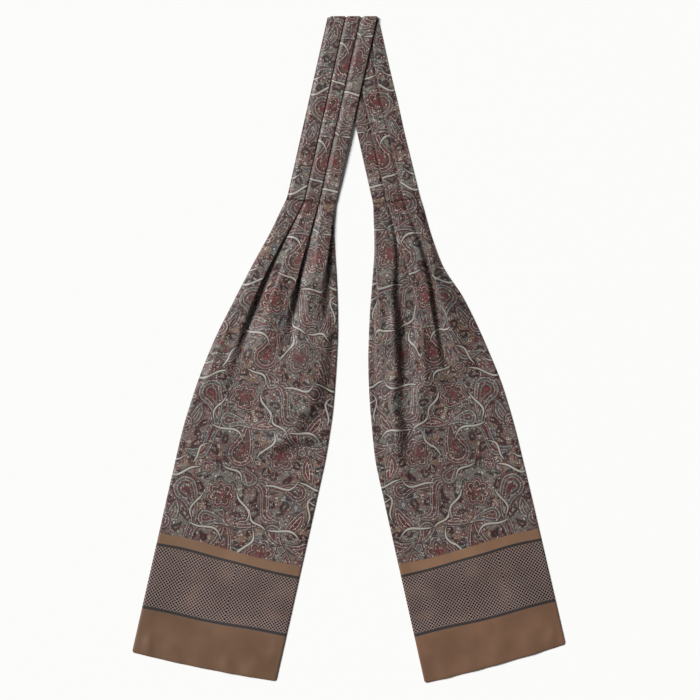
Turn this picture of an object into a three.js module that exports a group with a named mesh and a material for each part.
// A silk cravat laid flat: two wide square-ended blades, drawn by three knife pleats
// into a narrow neckband, which is folded over once at the back of the neck.
// Millimetres, +Z up. The cravat lies on the plane z = 0 and is seen from above, with +Y
// towards the fold. The left half lies face up, the right half comes round the fold
// underneath it and shows its reverse.
import * as THREE from 'three';

// Cloth
const WALL = 1.0;
const SEAM_GAP = 0.3;
const LAYER_GAP = 0.3;
const LAYER_PITCH = WALL + LAYER_GAP;

// Lie of the two halves: each runs straight from the fold, tilted to its own side.
// Distances along a half are measured from the top of the fold.
const TILT = THREE.MathUtils.degToRad(12.6);
const SEAM_AT = 190;
const SEAM_SLANT = 0.09;
const SLANT_REACH = 45;
const CORNER_RADIUS = 2.5;
const END_BOW = 1.6;
const END_WIDTH = 146;

// Fold at the back of the neck: the band turns over a small open loop
const LOOP_RADIUS = 0.4;
const BAND_HEIGHT = WALL + 2 * LAYER_PITCH;
const LOOP_AXIS_Z = BAND_HEIGHT + LOOP_RADIUS;
const LOOP_OUTER = LOOP_RADIUS + BAND_HEIGHT;
const BAND_START = LOOP_OUTER / Math.cos(TILT);
const TURN_STEPS = 8;

// Heights of the middle of the lowest layer of cloth
const LOW_ON_FLOOR = WALL / 2;
const LOW_ON_PANEL = WALL / 2 + LAYER_PITCH;
const LOW_OVER_BAND = LOOP_AXIS_Z + LOOP_RADIUS + WALL / 2;
const CROSSING_ENDS_AT = 125;

// Knife pleats: how one opens on its way from the seam (run 0) to where it is lost (run 1).
// turn: how far the cloth turns back, underlay: cloth lying under the strip, bend: length of a turn.
const FULL_BEND = Math.PI * LAYER_PITCH / 2;
const PLEAT_OPENING = [
  { run: 0.00, turn: 180, underlay: 6.2, bend: FULL_BEND },
  { run: 0.15, turn: 165, underlay: 5.2, bend: FULL_BEND },
  { run: 0.30, turn: 146, underlay: 4.6, bend: 2.2 },
  { run: 0.45, turn: 114, underlay: 3.2, bend: 2.6 },
  { run: 0.60, turn: 55, underlay: 2.4, bend: 4.4 },
  { run: 0.76, turn: 32, underlay: 2.0, bend: 4.8 },
  { run: 1.00, turn: 0, underlay: 2.0, bend: 6.0 },
];
const BEND_STEPS = 3;
const RISE_STEPS = 3;
const FOLD_CLEARANCE = 0.9;

// Each half as seen from above. outline: its two edges across the axis, at a distance along it.
// pleats: the line of each fold edge at the seam, where it still lies flat, and where it is lost.
// facing: +1 where the fold edges point to +X, -1 on the reverse, where they point to -X.
const LEFT = {
  side: -1,
  facing: 1,
  endAt: 666.4,
  endSlant: -0.022,
  outline: [
    { at: 0, left: -23.2, right: 24.8 },
    { at: 186, left: -23.4, right: 24.8 },
    { at: 202, left: -26.4, right: 26.6 },
    { at: 230, left: -32.5, right: 33.8 },
    { at: 260, left: -41.2, right: 42.5 },
    { at: 300, left: -51.8, right: 52.5 },
    { at: 350, left: -64.0, right: 61.8 },
    { at: 400, left: -71.4, right: 68.3 },
    { at: 450, left: -74.8, right: 70.9 },
    { at: 667, left: -75.4, right: 71.0 },
  ],
  pleats: [
    { atSeam: -6.3, atFlat: -33.0, atLost: -45.0, flatAt: 298, lostAt: 405 },
    { atSeam: 8.3, atFlat: 4.5, atLost: 8.0, flatAt: 290, lostAt: 395 },
    { atSeam: 24.8, atFlat: 30.0, atLost: 35.0, flatAt: 280, lostAt: 375 },
  ],
};
const RIGHT = {
  side: 1,
  facing: -1,
  endAt: 662.4,
  endSlant: -0.052,
  outline: [
    { at: 0, left: -23.2, right: 24.8 },
    { at: 60, left: -19.8, right: 25.6 },
    { at: 186, left: -19.8, right: 26.6 },
    { at: 202, left: -22.2, right: 27.8 },
    { at: 230, left: -27.8, right: 29.5 },
    { at: 260, left: -36.5, right: 33.4 },
    { at: 300, left: -48.5, right: 47.5 },
    { at: 350, left: -60.8, right: 59.0 },
    { at: 400, left: -69.0, right: 66.8 },
    { at: 450, left: -73.8, right: 69.6 },
    { at: 662, left: -73.8, right: 71.6 },
  ],
  pleats: [
    { atSeam: 11.2, atFlat: 21.0, atLost: 34.0, flatAt: 250, lostAt: 345 },
    { atSeam: -5.6, atFlat: 0.2, atLost: -14.0, flatAt: 288, lostAt: 385 },
    { atSeam: -19.8, atFlat: -33.0, atLost: -54.0, flatAt: 262, lostAt: 370 },
  ],
};

// Places along a half where a section of each piece is taken
const FRONT_BAND_SECTIONS = [24, 60, 100, 130, 160];
const BACK_BAND_SECTIONS = [60, 100, 130, 160];
const BLADE_SECTIONS = [202, 216, 231, 247, 263, 279, 295, 312, 330, 349, 369, 391, 414, 440, 520, 620];
const UNDER_SECTIONS = [202, 216, 231, 247, 263, 279, 295, 330, 369, 414, 450, 620];
const CORNER_SECTIONS = [0.62, 0.85, 0.96, 1];
const UNDER_STEPS = 4;

const COLOURS = { face: 0x6e605c, reverse: 0x64575a, border: 0x72574a };

// Value of a table's column at x: a smooth curve through its rows that never overshoots them.
function along(rows, key, column, x) {
  const last = rows.length - 1;
  if (x <= rows[0][key]) return rows[0][column];
  if (x >= rows[last][key]) return rows[last][column];
  const slope = (i) => (rows[i + 1][column] - rows[i][column]) / (rows[i + 1][key] - rows[i][key]);
  const tangent = (i) => {
    if (i === 0) return slope(0);
    if (i === last) return slope(last - 1);
    const before = slope(i - 1);
    const after = slope(i);
    return before * after <= 0 ? 0 : (2 * before * after) / (before + after);
  };
  const i = rows.findIndex((row, k) => x <= rows[k + 1][key]);
  const width = rows[i + 1][key] - rows[i][key];
  const t = (x - rows[i][key]) / width;
  const near = (1 + 2 * t) * (1 - t) ** 2 * rows[i][column] + t * (1 - t) ** 2 * width * tangent(i);
  const far = t * t * (3 - 2 * t) * rows[i + 1][column] - t * t * (1 - t) * width * tangent(i + 1);
  return near + far;
}

// How far a rounded corner draws the side in, at a distance along a half.
function cornerInset(half, at) {
  const into = at - (half.endAt - CORNER_RADIUS);
  return into <= 0 ? 0 : CORNER_RADIUS - Math.sqrt(Math.max(0, CORNER_RADIUS ** 2 - into ** 2));
}

// The two edges of a half, in the direction in which its fold edges point.
function edgesAt(half, at) {
  const left = along(half.outline, 'at', 'left', at) + cornerInset(half, at);
  const right = along(half.outline, 'at', 'right', at) - cornerInset(half, at);
  return half.facing > 0 ? { start: left, end: right } : { start: -right, end: -left };
}

// One pleat of a half at a distance along it: where its fold edge is and how far it is open.
function pleatAt(half, pleat, at) {
  const line = [
    { at: SEAM_AT, edge: pleat.atSeam },
    { at: pleat.flatAt, edge: pleat.atFlat },
    { at: pleat.lostAt, edge: pleat.atLost },
  ];
  const run = THREE.MathUtils.clamp((at - SEAM_AT) / (pleat.lostAt - SEAM_AT), 0, 1);
  return {
    edge: half.facing * along(line, 'at', 'edge', at),
    turn: THREE.MathUtils.degToRad(along(PLEAT_OPENING, 'run', 'turn', run)),
    underlay: along(PLEAT_OPENING, 'run', 'underlay', run),
    bend: along(PLEAT_OPENING, 'run', 'bend', run),
  };
}

// The path of a pleat from its strip, back under it and on to the next strip: steps that turn.
function pleatSteps({ turn, underlay, bend }) {
  const steps = [];
  const swing = (from, to) => {
    for (let i = 0; i < BEND_STEPS; i++) {
      const angle = from + (to - from) * (i + 0.5) / BEND_STEPS;
      steps.push({ across: Math.cos(angle) * bend / BEND_STEPS, up: -Math.sin(angle) * bend / BEND_STEPS });
    }
  };
  swing(0, turn);
  steps.push({ across: Math.cos(turn) * underlay, up: -Math.sin(turn) * underlay });
  swing(turn, 0);
  return steps;
}

// How far a pleat's first turn reaches past the end of its strip.
function reachOf(steps) {
  let across = 0;
  let most = 0;
  for (const step of steps.slice(0, BEND_STEPS)) {
    across += step.across;
    most = Math.max(most, across);
  }
  return most;
}

// The middle line of the pleated cloth across a half: strips that rise from under the fold
// edge before them to their own fold edge, joined by the pleats.
function pleatedLine(half, at) {
  const { start, end } = edgesAt(half, at);
  const line = [{ across: start, up: 0 }];
  let emergesAt = start + FOLD_CLEARANCE;
  for (const row of half.pleats) {
    const pleat = pleatAt(half, row, at);
    const steps = pleatSteps(pleat);
    const drop = -steps.reduce((sum, step) => sum + step.up, 0);
    const back = -Math.min(0, steps.reduce((sum, step) => sum + step.across, 0));
    const stripEnd = pleat.edge - reachOf(steps);
    const riseStart = Math.max(emergesAt, line.at(-1).across + FOLD_CLEARANCE / 2);
    const riseEnd = Math.max(stripEnd - back - FOLD_CLEARANCE, riseStart + 2);
    for (let i = 0; i <= RISE_STEPS; i++) {
      const t = i / RISE_STEPS;
      line.push({ across: riseStart + (riseEnd - riseStart) * t, up: drop * t * t * (3 - 2 * t) });
    }
    line.push({ across: stripEnd, up: drop });
    for (const step of steps) {
      line.push({ across: line.at(-1).across + step.across, up: line.at(-1).up + step.up });
    }
    line.at(-1).up = 0;
    emergesAt = pleat.edge + FOLD_CLEARANCE;
  }
  const from = line.at(-1).across;
  const lastSteps = RISE_STEPS + 2;
  for (let i = 1; i <= lastSteps; i++) {
    line.push({ across: from + (end - from) * i / lastSteps, up: 0 });
  }
  return line;
}

// A closed ring round a middle line, half the wall to either side of it.
function wallRing(line) {
  const outer = [];
  const inner = [];
  line.forEach((point, i) => {
    const before = line[Math.max(i - 1, 0)];
    const after = line[Math.min(i + 1, line.length - 1)];
    const ahead = new THREE.Vector2(after.across - point.across, after.up - point.up).normalize();
    const behind = new THREE.Vector2(point.across - before.across, point.up - before.up).normalize();
    const way = ahead.clone().add(behind).normalize();
    const leg = ahead.lengthSq() > 0 ? ahead : behind;
    const miter = (WALL / 2) / Math.max(0.5, way.dot(leg));
    outer.push({ across: point.across - way.y * miter, up: point.up + way.x * miter });
    inner.push({ across: point.across + way.y * miter, up: point.up - way.x * miter });
  });
  return [...outer, ...inner.reverse()];
}

// A point of a half: across its axis, along it from the top of the fold, and above the floor.
function place(half, across, at, z) {
  const x = half.side * at * Math.sin(TILT) + across * Math.cos(TILT);
  const y = -at * Math.cos(TILT) + half.side * across * Math.sin(TILT);
  return new THREE.Vector3(x, y, z);
}

// How far along a half a section's point lies: level with the fold at the fold, along the
// slanting seam at the seam, and along the slightly bowed cut at the end.
function leanAt(half, at, across) {
  const fade = (distance, reach) => Math.max(0, 1 - Math.abs(distance) / reach);
  const fold = half.side * Math.tan(TILT) * fade(at - BAND_START, SLANT_REACH);
  const seam = half.side * SEAM_SLANT * fade(at - SEAM_AT, SLANT_REACH);
  const end = fade(half.endAt - at, half.endAt / 4);
  const bow = END_BOW * (1 - (2 * across / END_WIDTH) ** 2);
  return at + (fold + seam + end * half.endSlant) * across + end * bow;
}

// The pleated wall of a half at a distance along it, lying with its lowest layer at a height.
function pleatedSection(half, at, low) {
  return wallRing(pleatedLine(half, at)).map(({ across, up }) => {
    const v = half.facing * across;
    return place(half, v, leanAt(half, at, v), low + up);
  });
}

// A flat wall across a half between two heights.
function flatSection(half, at, bottom) {
  const left = along(half.outline, 'at', 'left', at) + cornerInset(half, at);
  const right = along(half.outline, 'at', 'right', at) - cornerInset(half, at);
  const top = Array.from({ length: UNDER_STEPS + 1 }, (_, i) => left + (right - left) * i / UNDER_STEPS);
  const corner = (v, z) => place(half, v, leanAt(half, at, v), z);
  return [...top.map((v) => corner(v, bottom + WALL)), ...top.reverse().map((v) => corner(v, bottom))];
}

// A closed solid through rings of equal count, whose first half mirrors their second half.
function loft(rings) {
  const count = rings[0].length;
  const positions = rings.flatMap((ring) => ring.flatMap((p) => [p.x, p.y, p.z]));
  const faces = [];
  const quad = (a, b, c, d) => faces.push(a, b, c, a, c, d);
  for (let k = 0; k + 1 < rings.length; k++) {
    for (let i = 0; i < count; i++) {
      const j = (i + 1) % count;
      quad(k * count + i, (k + 1) * count + i, (k + 1) * count + j, k * count + j);
    }
  }
  const lastRing = (rings.length - 1) * count;
  for (let i = 0; i + 1 < count / 2; i++) {
    const opposite = count - 1 - i;
    quad(i, i + 1, opposite - 1, opposite);
    quad(lastRing + i, lastRing + opposite, lastRing + opposite - 1, lastRing + i + 1);
  }
  const geometry = new THREE.BufferGeometry();
  geometry.setAttribute('position', new THREE.Float32BufferAttribute(positions, 3));
  geometry.setIndex(faces);
  return facingOut(geometry);
}

// The same solid with its faces turned round if they point inwards.
function facingOut(geometry) {
  const position = geometry.getAttribute('position');
  const index = geometry.getIndex();
  const corner = (i) => new THREE.Vector3().fromBufferAttribute(position, index.getX(i));
  let volume = 0;
  for (let i = 0; i < index.count; i += 3) {
    volume += corner(i).dot(corner(i + 1).cross(corner(i + 2))) / 6;
  }
  if (volume < 0) {
    for (let i = 0; i < index.count; i += 3) {
      const second = index.getX(i + 1);
      index.setX(i + 1, index.getX(i + 2));
      index.setX(i + 2, second);
    }
  }
  geometry.computeVertexNormals();
  return geometry;
}

// Height of the band's lowest layer: level past the crossing, then easing to the seam.
function bandLow(level, at) {
  const rows = [
    { at: CROSSING_ENDS_AT, low: level },
    { at: SEAM_AT, low: LOW_ON_PANEL },
  ];
  return along(rows, 'at', 'low', at);
}

// Upper panel of a blade: pleated at the seam, opening to the flat square end.
function bladeUpper(half) {
  const ends = CORNER_SECTIONS.map((share) => half.endAt - CORNER_RADIUS * (1 - share));
  const stations = [SEAM_AT + SEAM_GAP / 2, ...BLADE_SECTIONS, half.endAt - CORNER_RADIUS, ...ends];
  return loft(stations.map((at) => pleatedSection(half, at, LOW_ON_PANEL)));
}

// Under panel of a blade: the same outline, flat on the floor.
function bladeUnder(half) {
  const ends = CORNER_SECTIONS.map((share) => half.endAt - CORNER_RADIUS * (1 - share));
  const stations = [SEAM_AT + SEAM_GAP / 2, ...UNDER_SECTIONS, half.endAt - CORNER_RADIUS, ...ends];
  return loft(stations.map((at) => flatSection(half, at, 0)));
}

// The stretch of neckband that lies in front, face up.
function bandFront() {
  const stations = [BAND_START, ...FRONT_BAND_SECTIONS, SEAM_AT - SEAM_GAP / 2];
  return loft(stations.map((at) => pleatedSection(LEFT, at, bandLow(LOW_OVER_BAND, at))));
}

// The front band's section at the fold, carried round the loop: 0 is in front, PI is behind.
function turnedSection(angle) {
  const halfway = angle / Math.PI;
  return wallRing(pleatedLine(LEFT, BAND_START)).map(({ across, up }) => {
    const radius = LOOP_RADIUS + WALL / 2 + up;
    const x = across / Math.cos(TILT) + BAND_START * Math.sin(TILT) * (2 * halfway - 1);
    const y = -LOOP_OUTER + radius * Math.sin(angle);
    return new THREE.Vector3(x, y, LOOP_AXIS_Z + radius * Math.cos(angle));
  });
}

// The turn of the neckband over the fold, clear of the two stretches that it joins.
function bandTurn() {
  const margin = SEAM_GAP / LOOP_OUTER;
  const angles = Array.from({ length: TURN_STEPS + 1 }, (_, i) =>
    margin + (Math.PI - 2 * margin) * i / TURN_STEPS);
  const rings = angles.map(turnedSection);
  const inFront = turnedSection(0).map((p) => p.setY(p.y + SEAM_GAP));
  const behind = turnedSection(Math.PI).map((p) => p.setY(p.y + SEAM_GAP));
  return loft([inFront, ...rings.slice(1, -1), behind]);
}

// The stretch of neckband that comes down behind, reverse up. It starts as the front band's
// section turned over, and settles into its own pleat lines where the front band hides it.
function bandBehind() {
  const turned = turnedSection(Math.PI);
  const count = turned.length;
  const upperSideFirst = turned.map((_, i) => turned[(i + count / 2) % count]);
  const sections = [...BACK_BAND_SECTIONS, SEAM_AT - SEAM_GAP / 2].map((at) =>
    pleatedSection(RIGHT, at, bandLow(LOW_ON_FLOOR, at)));
  return loft([upperSideFirst, ...sections]);
}

function cloth(name, geometry, color) {
  const material = new THREE.MeshStandardMaterial({ color, roughness: 0.55, metalness: 0 });
  const mesh = new THREE.Mesh(geometry, material);
  mesh.name = name;
  return mesh;
}

const laidOut = new THREE.Group();
laidOut.add(
  cloth('left_blade_upper', bladeUpper(LEFT), COLOURS.face),
  cloth('left_blade_under', bladeUnder(LEFT), COLOURS.border),
  cloth('neckband_front', bandFront(), COLOURS.face),
  cloth('neckband_turn', bandTurn(), COLOURS.face),
  cloth('neckband_behind', bandBehind(), COLOURS.reverse),
  cloth('right_blade_upper', bladeUpper(RIGHT), COLOURS.reverse),
  cloth('right_blade_under', bladeUnder(RIGHT), COLOURS.border),
);

// The origin is on the floor, under the middle of the cravat's box.
const box = new THREE.Box3().setFromObject(laidOut, true);
const middle = box.getCenter(new THREE.Vector3());
laidOut.position.set(-middle.x, -middle.y, -box.min.z);

const cravat = new THREE.Group();
cravat.name = 'silk_cravat';
cravat.add(laidOut);

export default cravat;
